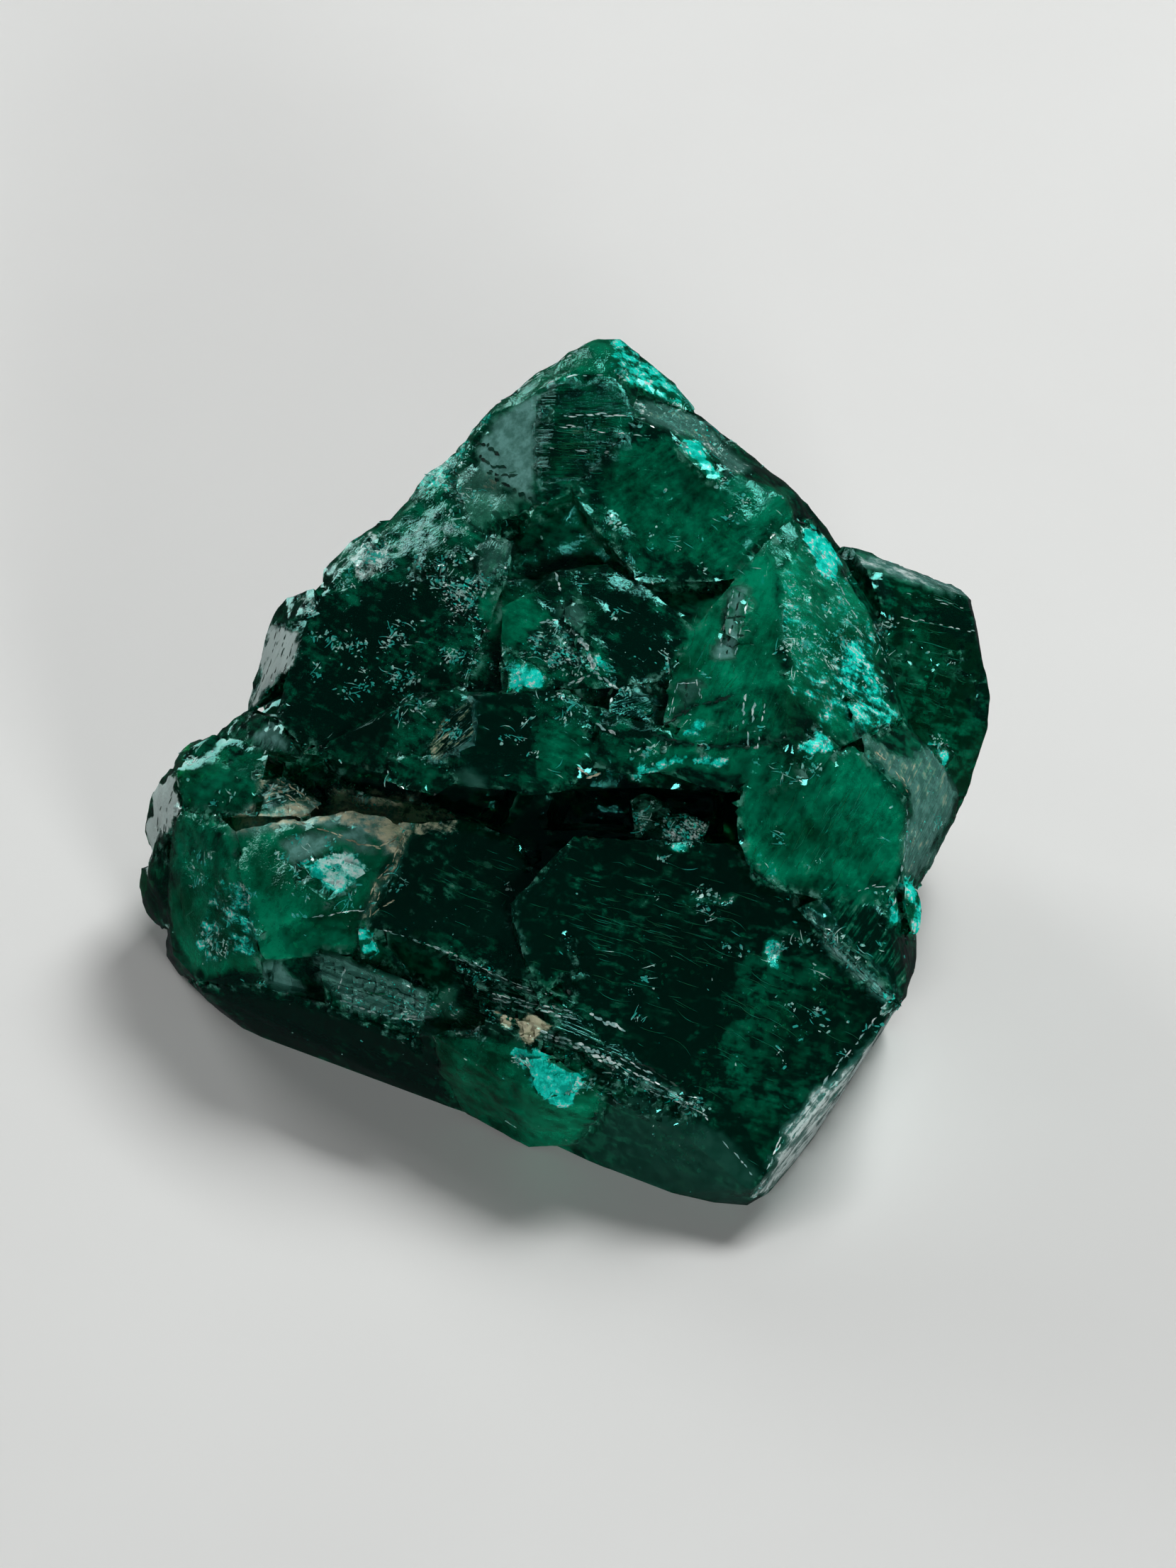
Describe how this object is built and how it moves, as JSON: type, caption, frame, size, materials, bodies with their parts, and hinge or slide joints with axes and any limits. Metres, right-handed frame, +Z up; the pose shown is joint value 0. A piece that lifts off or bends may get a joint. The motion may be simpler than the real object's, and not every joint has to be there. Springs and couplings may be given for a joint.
{
  "type": "mineral specimen",
  "caption": "Dark emerald-green dioptase crystal cluster, broken flat underneath so that it stands with its peak up, for display.",
  "frame": {"origin": "middle of the footprint, on the surface that the specimen stands on", "axes": "+Z up; +X to the right and -Y towards the viewer of the broad front"},
  "size_m": [0.035, 0.0346, 0.0235],
  "materials": {
    "dioptase": "vitreous, see-through in thin edges"
  },
  "bodies": {
    "root": {"dioptase_cluster": "dioptase"}
  },
  "joints": []
}
